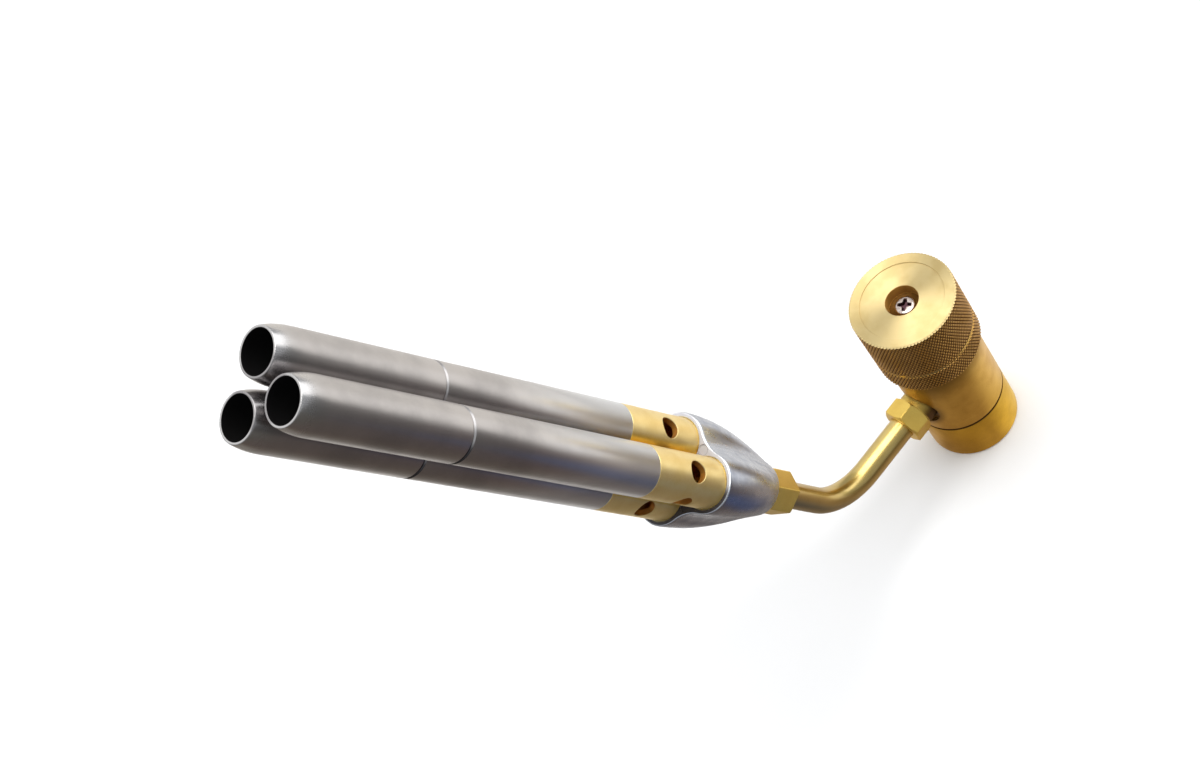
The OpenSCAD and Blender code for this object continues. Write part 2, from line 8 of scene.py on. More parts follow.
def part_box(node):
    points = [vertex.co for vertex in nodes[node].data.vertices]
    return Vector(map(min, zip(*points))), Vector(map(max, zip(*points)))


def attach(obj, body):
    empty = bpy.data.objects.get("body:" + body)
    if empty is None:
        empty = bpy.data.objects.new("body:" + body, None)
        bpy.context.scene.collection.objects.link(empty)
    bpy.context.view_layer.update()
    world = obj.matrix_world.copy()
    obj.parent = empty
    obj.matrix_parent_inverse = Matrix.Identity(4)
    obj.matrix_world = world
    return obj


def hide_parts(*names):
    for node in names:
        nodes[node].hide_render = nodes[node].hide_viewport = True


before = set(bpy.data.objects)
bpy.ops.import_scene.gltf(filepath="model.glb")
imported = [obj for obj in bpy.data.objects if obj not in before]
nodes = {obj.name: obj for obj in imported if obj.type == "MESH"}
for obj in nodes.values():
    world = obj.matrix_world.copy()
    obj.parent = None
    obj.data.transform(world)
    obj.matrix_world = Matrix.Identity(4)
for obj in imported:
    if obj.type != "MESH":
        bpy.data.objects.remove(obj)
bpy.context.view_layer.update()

# Inlet socket: a brass ring turned from bar, with a right-hand thread cut inside it for the gas
# bottle's neck. It screws up into the valve body, and a narrow V groove shows where the two meet.
MM = 0.001
body_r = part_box("valve_body")[1].x / MM
spigot_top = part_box("inlet_socket")[1].z / MM
groove_z = 16.5
groove_v = 0.45
edge = 0.6
thread_r = 12.1
thread_root_r = 12.7
thread_len = 9.0
thread_pitch = 1.27
socket_floor = 14.5
spigot_r = 9.5
pin_hole_r = 3.0
pin_hole_top = 19.5
socket_bore_r = 2.4
cord_z = 17.9
cord_r = 0.9
soft_edge = 0.12
weld = 0.002
levels_a_turn = 12


def ring(radius, height, count=128):
    """Points of a circle about the Z axis, in millimetres."""
    turns = [math.tau * i / count for i in range(count)]
    return [(radius * math.cos(t), radius * math.sin(t), height) for t in turns]


def eased(outline, ease, steps=3):
    """A closed outline with each corner rounded. Ease is the length taken off both sides of a corner."""
    points = []
    for i, corner in enumerate(outline):
        tip = Vector(corner)
        back, on = Vector(outline[i - 1]) - tip, Vector(outline[(i + 1) % len(outline)]) - tip
        cut = min(ease, 0.4 * back.length, 0.4 * on.length)
        start, end = tip + back.normalized() * cut, tip + on.normalized() * cut
        for k in range(steps + 1):
            t = k / steps
            points.append(tuple((1 - t) ** 2 * start + 2 * t * (1 - t) * tip + t * t * end))
    return points


def skin(loops, closed=True, gaps=()):
    """Points and faces through loops of equal count. Closed joins the last loop to the first."""
    count = len(loops[0])
    points = [p for loop in loops for p in loop]
    faces = []
    for j in range(len(loops) if closed else len(loops) - 1):
        if j in gaps:
            continue
        a, b = j * count, (j + 1) % len(loops) * count
        for i in range(count):
            k = (i + 1) % count
            faces.append((a + i, a + k, b + k, b + i))
    return points, faces


def made(name, *skins, crease=30):
    """A new object from skins in millimetres. Points that meet are joined, and flat rims are filled."""
    form = bmesh.new()
    for points, faces in skins:
        corners = [form.verts.new([c * MM for c in p]) for p in points]
        for face in faces:
            form.faces.new([corners[i] for i in face])
    bmesh.ops.remove_doubles(form, verts=form.verts, dist=weld * MM)
    loose = [e for e in form.edges if not e.link_faces]
    bmesh.ops.delete(form, geom=loose, context="EDGES")
    bmesh.ops.delete(form, geom=[v for v in form.verts if not v.link_faces], context="VERTS")
    rims = [e for e in form.edges if e.is_boundary]
    if rims:
        bmesh.ops.triangle_fill(form, use_beauty=True, edges=rims)
    bmesh.ops.recalc_face_normals(form, faces=form.faces)
    mesh = bpy.data.meshes.new(name)
    form.to_mesh(mesh)
    form.free()
    mesh.shade_smooth()
    mesh.set_sharp_from_angle(angle=math.radians(crease))
    piece = bpy.data.objects.new(name, mesh)
    bpy.context.collection.objects.link(piece)
    return piece


class Value:
    """A socket in a material's node tree. Sums on it add Math nodes."""

    def __init__(self, tree, socket=None):
        self.tree, self.socket = tree, socket

    def node(self, kind, settings=None, inputs=None, output=0):
        """Any node: its settings are set first, then the values or links of its sockets."""
        new = self.tree.nodes.new(kind)
        for name, value in (settings or {}).items():
            if name == "stops":
                ends = new.color_ramp.elements
                ends[0].position, ends[1].position = value[0][0], value[-1][0]
                for place, _ in value[1:-1]:
                    ends.new(place)
                for stop, (_, colour) in zip(ends, value):
                    stop.color = (*colour, 1.0)
            else:
                setattr(new, name, value)
        for name, value in (inputs or {}).items():
            self.feed(new.inputs[name], value)
        return Value(self.tree, new.outputs[output])

    def feed(self, socket, value):
        """Links a value to a socket, or sets a number or colour on it."""
        if isinstance(value, Value):
            self.tree.links.new(value.socket, socket)
        else:
            socket.default_value = (*value, 1.0) if socket.type == "RGBA" else value

    def out(self, name):
        return Value(self.tree, self.socket.node.outputs[name])

    def maths(self, operation, *values):
        return self.node("ShaderNodeMath", {"operation": operation}, dict(enumerate(values)))

    def __add__(self, other):
        return self.maths("ADD", self, other)

    def __sub__(self, other):
        return self.maths("SUBTRACT", self, other)

    def __rsub__(self, other):
        return self.maths("SUBTRACT", other, self)

    def __mul__(self, other):
        return self.maths("MULTIPLY", self, other)

    def __truediv__(self, other):
        return self.maths("DIVIDE", self, other)

    def __pow__(self, other):
        return self.maths("POWER", self, other)

    __radd__, __rmul__ = __add__, __mul__

    def between(self, low, high):
        """0 below low, 1 above high, and smooth between them."""
        settings = {"interpolation_type": "SMOOTHSTEP"}
        return self.node("ShaderNodeMapRange", settings, {"Value": self, "From Min": low, "From Max": high})

    def mix(self, first, second):
        """First colour where this value is 0, second where it is 1."""
        settings = {"data_type": "RGBA", "clamp_factor": True}
        return self.node("ShaderNodeMix", settings, {0: self, 6: first, 7: second}, output=2)


class Finish:
    """A metal or rubber finish: its material, its main shader, and places on the piece in millimetres."""

    def __init__(self, name):
        self.material = bpy.data.materials.new(name)
        self.material.use_nodes = True
        tree = self.material.node_tree
        self.shader = tree.nodes["Principled BSDF"]
        self.start = Value(tree)
        place = self.start.node("ShaderNodeTexCoord", output="Object")
        inputs = {0: place, "Scale": 1 / MM}
        self.place = self.start.node("ShaderNodeVectorMath", {"operation": "SCALE"}, inputs)
        split = self.start.node("ShaderNodeSeparateXYZ", inputs={0: self.place})
        self.x, self.y, self.z = split, split.out("Y"), split.out("Z")
        self.radius = (self.x * self.x + self.y * self.y) ** 0.5

    def toward(self, degrees):
        """1 on the side of the axis at this bearing, and -1 on the far side."""
        t = math.radians(degrees)
        return (self.x * math.cos(t) + self.y * math.sin(t)) / self.radius

    def at(self, x, y, z):
        return self.start.node("ShaderNodeCombineXYZ", inputs={0: x, 1: y, 2: z})

    def noise(self, where, scale=1.0, detail=3.0, rough=0.55):
        inputs = {"Vector": where, "Scale": scale, "Detail": detail, "Roughness": rough}
        return self.start.node("ShaderNodeTexNoise", inputs=inputs)

    def turned(self, lines):
        """Tool lines round the piece's axis, so many to the millimetre."""
        return self.noise(self.at(self.radius * lines, 0.0, self.z * lines), detail=2.0)

    def bump(self, height, depth):
        return self.start.node("ShaderNodeBump", inputs={"Height": height, "Distance": depth * MM})

    def set(self, **sockets):
        """Feeds the shader's sockets, named with underscores for spaces."""
        for name, value in sockets.items():
            self.start.feed(self.shader.inputs[name.replace("_", " ")], value)


def turned_brass(brass, bright, stained, dirt_and_shade, dirt_and_shade_colour, roughness, lines, depth, streak):
    """Brass off the lathe: fine tool lines, a cloudy tarnish and a highlight drawn across the lines.
    A mask darkens it where real grease and heat stains lie and where shade is painted, and gives the
    colour there."""
    cut = brass.turned(lines)
    clouds = brass.noise(brass.place, scale=0.16, detail=5.0)
    specks = brass.noise(brass.place, scale=2.6, detail=3.0, rough=0.7)
    tarnish = (clouds * 0.65 + specks * 0.2 + cut * 0.15).between(0.36, 0.66)
    brass.set(
        Base_Color=dirt_and_shade.mix(tarnish.mix(bright, stained), dirt_and_shade_colour),
        Metallic=1.0,
        Roughness=roughness + tarnish * 0.08 + (cut - 0.5) * 0.14 + dirt_and_shade * 0.15,
        Anisotropic=streak,
        Anisotropic_Rotation=0.25,
        Normal=brass.bump(cut + specks * 0.1, depth),
    )


half_turn = [math.pi * i / 8 for i in range(9)]
cord_groove = [(spigot_r - cord_r * math.sin(t), cord_z - cord_r * math.cos(t)) for t in half_turn]
thread_steps = round(thread_len / thread_pitch * levels_a_turn)
# The first and last corners are left out, because the thread and the seal's groove begin there.
outside = eased([
    (thread_r, 0), (body_r - edge, 0), (body_r, edge), (body_r, groove_z - groove_v),
    (body_r - groove_v, groove_z), (spigot_r, groove_z),
], soft_edge)[4:-4]
upper = cord_groove + [
    (spigot_r, spigot_top), (socket_bore_r, spigot_top), (socket_bore_r, pin_hole_top),
    (pin_hole_r, pin_hole_top), (pin_hole_r, socket_floor), (thread_root_r, socket_floor),
    (thread_root_r, thread_len + thread_root_r - thread_r),
]


def thread_ring(height, count=128):
    """One level of the bottle thread: a right-hand helix, fading out at both ends."""
    fade = min(1.0, height / thread_pitch, (thread_len - height) / thread_pitch)
    points = []
    for i in range(count):
        turn = i / count
        wave = 0.5 - 0.5 * math.cos(math.tau * (height / thread_pitch - turn))
        r = thread_r + (thread_root_r - thread_r) * wave * max(0.0, fade)
        points.append((r * math.cos(math.tau * turn), r * math.sin(math.tau * turn), height))
    return points


thread = [thread_ring(thread_len * (1 - i / thread_steps)) for i in range(thread_steps + 1)]
socket = made("inlet_socket_turned", skin([ring(r, z) for r, z in outside + upper] + thread))


def valve_dirt(brass, reach):
    """Grease in the groove between the socket and the valve body. Reach is how far past their outside it
    has crept."""
    off = brass.z - groove_z
    in_groove = 1 - (off * off).between(0.8 * groove_v**2, 1.7 * groove_v**2)
    return in_groove * (1 - brass.radius.between(body_r + reach - 0.1, body_r + reach))


socket_brass = Finish("socket_brass")
turned_brass(
    socket_brass, bright=(0.70, 0.425, 0.042), stained=(0.57, 0.335, 0.03),
    dirt_and_shade=valve_dirt(socket_brass, 0.02), dirt_and_shade_colour=(0.09, 0.04, 0.01),
    roughness=0.3, lines=7.0, depth=0.006, streak=0.4,
)
socket.data.materials.append(socket_brass.material)
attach(socket, "torch")
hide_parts("inlet_socket")


def dress(finish, *names):
    """Gives carried-over solids their finish, with smooth shading on round faces."""
    for name in names:
        shape = nodes[name].data
        shape.materials.clear()
        shape.materials.append(finish)
        shape.shade_smooth()
        shape.set_sharp_from_angle(angle=math.radians(30))


rubber = Finish("seal_rubber")
grain = rubber.noise(rubber.place, scale=4.0, detail=3.0)
talc = rubber.noise(rubber.place, scale=0.5, detail=5.0).between(0.5, 0.75)
rubber.set(
    Base_Color=talc.mix((0.012, 0.012, 0.013), (0.04, 0.04, 0.042)),
    Roughness=0.55 + talc * 0.25,
    Normal=rubber.bump(grain, 0.03),
)
dress(rubber.material, "inlet_gasket", "socket_seal", "spindle_seal")

# Bottle pin, jets and bonnet: small brass turnings, bright from the lathe and only lightly tarnished.
# The pin and the jets screw into their seats, and the bonnet holds the spindle in the valve body.
fitting = Finish("fitting_brass")
clouds = fitting.noise(fitting.place, scale=0.3, detail=5.0)
scratches = fitting.noise(fitting.place, scale=5.0, detail=4.0, rough=0.7)
tarnish = (clouds * 0.75 + scratches * 0.25).between(0.38, 0.66)
fitting.set(
    Base_Color=tarnish.mix((0.70, 0.50, 0.16), (0.52, 0.345, 0.095)),
    Metallic=1.0,
    Roughness=0.24 + tarnish * 0.14 + (scratches - 0.5) * 0.1,
    Normal=fitting.bump(scratches, 0.012),
)
dress(fitting.material, "depressor_pin", "bonnet", "gas_jet_1", "gas_jet_2", "gas_jet_3")

# Filter plug and bonnet washer: a plug of sintered bronze grains keeps grit off the seat, and a soft
# copper washer seals the bonnet. Both are pressed in place and stay out of sight.
sinter = Finish("sintered_bronze")
cells = sinter.start.node("ShaderNodeTexVoronoi", inputs={"Vector": sinter.place, "Scale": 3.0})
sinter.set(
    Base_Color=cells.between(0.1, 0.6).mix((0.46, 0.30, 0.12), (0.10, 0.06, 0.03)),
    Metallic=1.0,
    Roughness=0.45 + cells * 0.3,
    Normal=sinter.bump(1 - cells, 0.12),
)
dress(sinter.material, "inlet_filter")
copper = Finish("soft_copper")
bloom = copper.noise(copper.place, scale=0.4, detail=5.0).between(0.35, 0.7)
copper.set(
    Base_Color=bloom.mix((0.72, 0.33, 0.18), (0.38, 0.15, 0.08)),
    Metallic=1.0,
    Roughness=0.32 + bloom * 0.2,
    Normal=copper.bump(copper.turned(5.0), 0.015),
)
dress(copper.material, "bonnet_washer")

# Spindle: turned stainless steel with a needle at its foot, a thread, a groove for its rubber ring and
# a square for the knob. The thread lifts it a millimetre a turn.
spindle_steel = Finish("spindle_steel")
cut = spindle_steel.turned(9.0)
haze = spindle_steel.noise(spindle_steel.place, scale=0.5, detail=4.0)
spindle_steel.set(
    Base_Color=haze.mix((0.52, 0.51, 0.50), (0.64, 0.63, 0.61)),
    Metallic=1.0,
    Roughness=0.22 + haze * 0.12 + (cut - 0.5) * 0.1,
    Normal=spindle_steel.bump(cut, 0.01),
)
dress(spindle_steel.material, "spindle")

# Valve body: brass bar turned to the socket's diameter, with a satin grain and a brown tarnish.
# A flat is spot faced on its side for the outlet fitting, with a port bored into it. Round the port
# the brass is painted in shade, less above it, and a painted shadow lies on it under the knob.
body_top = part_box("valve_body")[1].z / MM
outlet_z = 27.5
spot_r = 7.0
spot_x = 12.212
port_r = 4.5
port_x = 7.312
bonnet_r = 7.05
chamber_r, chamber_low, chamber_top = 3.6, 25.0, 33.0
seat_r = 1.2
filter_r, filter_low, filter_top = 5.55, 21.35, 22.9
body_count = 144
window_low, window_high = 18.5, 36.5
fit_gap = 0.05
port_shade_in, port_shade_out = 5.5, 9.5
knob_shadow_h = 10.0


def window(radius, low, high, side, hole_r, shares):
    """Loops in a round wall from a window's border, a quarter turn wide about +X, in to a round hole."""
    middle = (low + high) / 2
    half = math.pi / 4
    run = [2 * i / side - 1 for i in range(side)]
    border = [(half * u, low) for u in run] + [(half, middle + (high - low) / 2 * u) for u in run]
    border += [(-half * u, high) for u in run] + [(-half, middle - (high - low) / 2 * u) for u in run]
    loops = []
    for share in shares:
        loop = []
        for turn, height in border:
            t = math.atan2(height - middle, turn * radius)
            hole_turn, hole_z = math.asin(hole_r * math.cos(t) / radius), middle + hole_r * math.sin(t)
            a = hole_turn + (turn - hole_turn) * share
            loop.append((radius * math.cos(a), radius * math.sin(a), hole_z + (height - hole_z) * share))
        loops.append(loop)
    return loops


def window_disc(loop, x, radius):
    """A flat circle across +X whose points face those of a window's loop."""
    middle = sum(p[2] for p in loop) / len(loop)
    points = []
    for _, y, z in loop:
        t = math.atan2(z - middle, y)
        points.append((x, radius * math.cos(t), middle + radius * math.sin(t)))
    return points


outline = eased([
    (spigot_r + fit_gap, groove_z), (body_r - groove_v, groove_z), (body_r, groove_z + groove_v),
    (body_r, body_top - edge), (body_r - edge, body_top), (bonnet_r, body_top),
    (bonnet_r, chamber_top), (chamber_r, chamber_top), (chamber_r, chamber_low),
    (seat_r, chamber_low), (seat_r, filter_top), (filter_r, filter_top),
    (filter_r, filter_low), (spigot_r + fit_gap, filter_low),
], soft_edge)
# Two levels are added to the plain wall, and the band between them stays open for the port's window.
wall_at = next(i for i, (r, z) in enumerate(outline) if r > body_r - weld and z > groove_z + 1)
outline[wall_at:wall_at] = [(body_r, window_low), (body_r, window_high)]
shell = skin([ring(r, z, body_count) for r, z in outline], gaps=(wall_at,))
side = body_count // 4
levels = [window_low + (window_high - window_low) * i / side for i in range(side + 1)]
points, faces = skin([ring(body_r, z, body_count) for z in levels], closed=False)
wall = points, [f for f in faces if side // 2 <= f[0] % body_count < body_count - side // 2]
loops = window(body_r, window_low, window_high, side, spot_r, (1.0, 0.7, 0.45, 0.25, 0.1, 0.02, 0.0))
flat = loops[-1]
port = ((spot_x, spot_r), (spot_x, port_r), (port_x, port_r), (port_x, 0))
loops += [window_disc(flat, x, r) for x, r in port]
body = made("valve_body_turned", shell, wall, skin(loops, closed=False))
body_brass = Finish("body_brass")
above_port = body_brass.z - outlet_z
from_port = (body_brass.y * body_brass.y + above_port * above_port) ** 0.5
# Painted shade round the port, lighter above it.
port_shade = (1 - from_port.between(port_shade_in, port_shade_out)) * body_brass.x.between(5.0, 10.0)
port_shade = port_shade * (1 - above_port.between(1.0, 6.0) * 0.8)
# A painted shadow under the knob.
knob_shadow = body_brass.z.between(body_top - knob_shadow_h, body_top) * 0.5
in_groove = valve_dirt(body_brass, 0.12)
turned_brass(
    body_brass, bright=(0.66, 0.40, 0.072), stained=(0.55, 0.312, 0.048),
    dirt_and_shade=1 - (1 - in_groove) * (1 - port_shade * 0.9) * (1 - knob_shadow), dirt_and_shade_colour=(0.085, 0.04, 0.012),
    roughness=0.32, lines=7.0, depth=0.006, streak=0.4,
)
body.data.materials.append(body_brass.material)
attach(body, "torch")
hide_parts("valve_body")

# Knob: a brass cap with a fine diamond knurl rolled into its side, parted by one turned line.
# Its top is faced on the lathe with a shallow sunk middle, and it sits on the spindle's square.
# Grime lies in the knurl. The knurled side is a darker copy of the top's brass, painted shade, and
# the well round the screw is painted in shade, darkest on its floor.
knob_low, knob_top = (c.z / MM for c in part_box("knob"))
knob_r = 16.1
knurl_depth = 0.26
knurl_teeth = 96
knurl_angle = math.radians(30)
root_r = knob_r - knurl_depth
bevel = 0.3
face_bevel = 0.1
line_z = knob_low + 7.6
line_w = 0.45
line_edge = 0.05
line_low_r, line_high_r = root_r + 0.04, root_r - 0.16
face_r, face_sink = 12.7, 0.3
screw_hole_r = 5.0
screw_seat = 65.5
web_z = 57.3
cavity_r = 11.515
square_half = 2.05
knurl_flat = 0.4
tooth_turn = math.tau / knurl_teeth
knob_turns = [
    tooth_turn * (k + side) for k in range(knurl_teeth)
    for side in (0, 0.5 - 0.5 * knurl_flat, 0.5 + 0.5 * knurl_flat)
]


def level(radius, height):
    """A circle on the knob, with points where the teeth of the knurl begin and end."""
    return [(radius * math.cos(t), radius * math.sin(t), height) for t in knob_turns]


def toothed(height):
    """An end of the knurl, where every tooth is cut through its middle."""
    root, crest = level(root_r, height), level(knob_r, height)
    return [crest[i] if i % 3 else root[i] for i in range(len(root))]


def square(half, height):
    """Points of a square about the Z axis that face those of a circle."""
    points = []
    for x, y, _ in level(1.0, 0):
        out = half / max(abs(x), abs(y))
        points.append((x * out, y * out, height))
    return points


def knurl(low, high):
    """A rolled diamond knurl: rows of small flat-topped pyramids, half of them at both ends."""
    step = 0.5 * tooth_turn * knob_r / math.tan(knurl_angle)
    rows = 2 * round((high - low) / step / 2)
    points, faces = [], []
    for row in range(rows + 1):
        sides = [(0, -1), (1, 0), (0, 1), (-1, 0)]
        if row in (0, rows):
            sides = [(1, 0), (0, 1), (-1, 0)] if row == 0 else [(-1, 0), (0, -1), (1, 0)]
        for k in range(knurl_teeth):
            first, count = len(points), len(sides)
            for radius, share in ((root_r, 1.0), (knob_r, knurl_flat)):
                for u, v in sides:
                    t = tooth_turn * (k + 0.5 * ((row + 1) % 2) + 0.5 * u * share)
                    z = low + (high - low) * (row + v * share) / rows
                    points.append((radius * math.cos(t), radius * math.sin(t), z))
            faces.append(tuple(first + count + i for i in range(count)))
            for i in range(count if count == 4 else count - 1):
                a, b = first + i, first + (i + 1) % count
                faces.append((a, b, b + count, a + count))
    return points, faces


line_low, line_high = line_z - line_w, line_z + line_w
face_z = knob_top - face_sink
inside = [level(r, z) for r, z in (
    (root_r - bevel, knob_top), (face_r + face_bevel, knob_top), (face_r, knob_top - face_bevel),
    (face_r, face_z), (screw_hole_r + face_bevel, face_z), (screw_hole_r, face_z - face_bevel),
    (screw_hole_r, screw_seat),
)]
inside += [square(square_half, screw_seat), square(square_half, web_z)]
inside += [level(r, z) for r, z in (
    (cavity_r, web_z), (cavity_r, knob_low + bevel), (cavity_r + bevel, knob_low),
    (root_r - bevel, knob_low),
)]
line = [level(line_low_r, line_low + line_edge), level(line_high_r, line_high - line_edge)]
knob = made(
    "knob_knurled",
    knurl(knob_low + bevel, line_low),
    knurl(line_high, knob_top - bevel),
    skin([toothed(line_low)] + line + [toothed(line_high)], closed=False),
    skin([toothed(knob_top - bevel)] + inside + [toothed(knob_low + bevel)], closed=False),
    crease=24,
)
knob_brass = Finish("knob_brass")
cut = knob_brass.turned(6.0)
fine = knob_brass.turned(19.0)
clouds = knob_brass.noise(knob_brass.place, scale=0.14, detail=5.0)
off_line = knob_brass.z - line_z
turned_line = 1 - (off_line * off_line).between(0.5 * line_w**2, line_w**2)
valley = 1 - knob_brass.radius.between(root_r + 0.06, knob_r - 0.03)
below_top = 1 - knob_brass.z.between(knob_top - bevel - 0.02, knob_top - bevel + 0.04)
skirt = knob_brass.radius.between(root_r - 0.25, root_r - 0.15) * (1 - turned_line) * below_top
well = 1 - knob_brass.radius.between(screw_hole_r + 0.03, screw_hole_r + 0.12)
well_floor = 1 - knob_brass.radius.between(screw_hole_r - 0.12, screw_hole_r - 0.03)
grime = valley * skirt
tarnish = clouds.between(0.4, 0.68)
metal = tarnish.mix((0.73, 0.575, 0.28), (0.68, 0.52, 0.235))
metal = turned_line.mix(metal, (0.84, 0.56, 0.15))
# The knurled side is a darker copy of the top's brass: painted shade.
shaded_side_brass = tarnish.mix((0.66, 0.37, 0.105), (0.55, 0.30, 0.075))
# The well round the screw is painted in shade, darkest on its floor.
shaded_well = well_floor.mix((0.50, 0.25, 0.05), (0.165, 0.07, 0.011))
clean = skirt.mix((well * 0.97).mix(metal, shaded_well), shaded_side_brass)
rough = 0.44 - skirt * 0.14 + grime * 0.2 - turned_line * 0.28
knob_brass.set(
    Base_Color=(grime * 0.85).mix(clean, (0.18, 0.088, 0.024)),
    Metallic=1.0,
    Roughness=rough + tarnish * 0.06 + (cut - 0.5) * 0.12,
    Anisotropic=0.92,
    Anisotropic_Rotation=0.25,
    Normal=knob_brass.bump(cut + fine * 0.6, 0.006),
)
knob.data.materials.append(knob_brass.material)
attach(knob, "control")
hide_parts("knob")

# Knob screw: a plated steel pan-head screw with a cross recess, which clamps the knob on the square.
# Its crown is domed, and the recess has four tapered arms with drafted walls.
head_r, head_h = 3.1, 1.7
crown_h = 0.7
crown_r = 2.5
shank_r = 1.45
shank_low = screw_seat - 7.0
shank_chamfer, head_edge = 0.3, 0.1
recess_turn = math.radians(30)
recess_deep = 1.15
arm_out, arm_w = 2.15, 0.6
arm_tip, arm_root = 0.8, 1.25
floor_out, floor_w = 0.72 * arm_out, 0.62 * arm_w
screw_count = 64


def cross(out, half, height):
    """Twelve corners of a cross about the Z axis."""
    tip, root = half * arm_tip, half * arm_root
    points = []
    for k in range(4):
        for u, v in ((out, -tip), (out, tip), (root, root)):
            t = recess_turn + k * math.pi / 2
            points.append((u * math.cos(t) - v * math.sin(t), u * math.sin(t) + v * math.cos(t), height))
    return points


dome = [
    (head_r * math.cos(t), screw_seat + head_h - crown_h + crown_h * math.sin(t))
    for t in [math.acos(crown_r / head_r) * i / 6 for i in range(7)]
]
crown_z = dome[-1][1]
head = [
    (0, shank_low), (shank_r - shank_chamfer, shank_low), (shank_r, shank_low + shank_chamfer),
    (shank_r, screw_seat), (head_r - head_edge, screw_seat), (head_r, screw_seat + head_edge),
]
recess = [cross(arm_out, arm_w, crown_z), cross(floor_out, floor_w, crown_z - recess_deep)]
points, faces = skin(recess, closed=False)
corner = [12 + i for i in range(12)]
arms = [tuple(corner[(3 * k + i) % 12] for i in (-1, 0, 1, 2)) for k in range(4)]
faces += arms + [tuple(corner[i] for i in (2, 5, 8, 11))]
outside = skin([ring(r, z, screw_count) for r, z in head + dome], closed=False)
screw = made("knob_screw_head", outside, (points, faces), crease=35)
plate = Finish("screw_plate")
swirl = plate.noise(plate.place, scale=1.2, detail=4.0)
# The cross recess is painted dark: painted shade.
shaded_recess = 1 - plate.radius.between(arm_out + 0.05, arm_out + 0.2)
shaded_recess = shaded_recess * (1 - plate.z.between(crown_z - 0.6, crown_z - 0.06))
worn = swirl.between(0.4, 0.7).mix((0.58, 0.50, 0.45), (0.38, 0.30, 0.27))
plate.set(
    Base_Color=shaded_recess.mix(worn, (0.10, 0.05, 0.06)),
    Metallic=1.0,
    Roughness=0.14 + swirl * 0.16 + shaded_recess * 0.2,
    Normal=plate.bump(swirl, 0.05),
)
screw.data.materials.append(plate.material)
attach(screw, "control")
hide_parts("knob_screw")

# Outlet fitting: hexagon brass bar with both ends of the hexagon turned to a cone and a round neck.
# It is pressed into the valve body's port, and the gas tube is soldered into its bore.
hex_flats = 12.0
hex_corner_r = hex_flats / 2 / math.cos(math.radians(30))
hex_ease = 0.28
hex_chamfer = 1.1
flat_parts = 12
neck_r = 5.6
hex_x, hex_end = 15.712, 21.912
gas_r = 1.5
tube_r, tube_bore_r = 3.9, 2.7
tube_in = 5.0
lead_in = 0.25
spigot_chamfer = 0.2
port_gap = 0.2
cone_slope = math.tan(math.radians(30))


def hexagon(turn):
    """Section of hexagon bar with slightly rounded corners and points along its flats."""
    turns = [turn + math.tau * k / 6 for k in range(6)]
    corners = [(hex_corner_r * math.cos(t), hex_corner_r * math.sin(t)) for t in turns]
    outline = eased(corners, hex_ease)
    points = []
    for i, p in enumerate(outline):
        points.append(p)
        q = outline[(i + 1) % len(outline)]
        parts = flat_parts if math.dist(p, q) > 1 else 1
        points += [tuple(a + (b - a) * k / parts for a, b in zip(p, q)) for k in range(1, parts)]
    return points


def hexagon_loops(section, start, end, chamfers):
    """Loops of a hexagon bar whose two ends are turned to a cone."""
    loops = []
    for z, sign, chamfer in ((start, 1, chamfers[0]), (end, -1, chamfers[1])):
        rim, crease = [], []
        for x, y in section:
            far = math.hypot(x, y)
            near = min(far, hex_corner_r - chamfer)
            rim.append((x / far * near, y / far * near, z))
            crease.append((x, y, z + sign * (far - near) * cone_slope))
        loops += [rim, crease] if sign > 0 else [crease, rim]
    return loops


def facing(section, radius, height):
    """A circle whose points face those of a hexagon's section."""
    sizes = [radius / math.hypot(x, y) for x, y in section]
    return [(x * size, y * size, height) for size, (x, y) in zip(sizes, section)]


section = hexagon(math.radians(-75))
plug_r, plug_x = port_r - fit_gap, port_x + port_gap
loops = [facing(section, r, x) for r, x in (
    (gas_r, plug_x), (plug_r - spigot_chamfer, plug_x), (plug_r, plug_x + spigot_chamfer),
    (plug_r, spot_x), (neck_r, spot_x), (neck_r, hex_x),
)]
loops += hexagon_loops(section, hex_x, hex_end, (hex_chamfer, hex_chamfer))
sleeve_r = tube_r + fit_gap
loops += [facing(section, r, x) for r, x in (
    (sleeve_r + lead_in, hex_end), (sleeve_r, hex_end - lead_in),
    (sleeve_r, hex_end - tube_in), (gas_r, hex_end - tube_in),
)]
outlet = made("outlet_fitting_hexagon", skin(loops))
outlet.matrix_world = Matrix.Translation((0, 0, outlet_z * MM)) @ Matrix.Rotation(math.pi / 2, 4, "Y")
bar_brass = Finish("bar_brass")
# Painted shade on the neck under the hexagon, lighter on its upper side.
on_neck = 1 - bar_brass.z.between(hex_x - 0.5, hex_x + 0.1)
neck_shade = on_neck * (0.3 + bar_brass.x.between(-5.0, -1.0) * 0.7)
turned_brass(
    bar_brass, bright=(0.90, 0.63, 0.14), stained=(0.80, 0.54, 0.11),
    dirt_and_shade=neck_shade, dirt_and_shade_colour=(0.12, 0.06, 0.015),
    roughness=0.3, lines=4.0, depth=0.003, streak=0.2,
)
bar_brass.set(Metallic=0.82)
outlet.data.materials.append(bar_brass.material)
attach(outlet, "torch")
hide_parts("outlet_fitting")

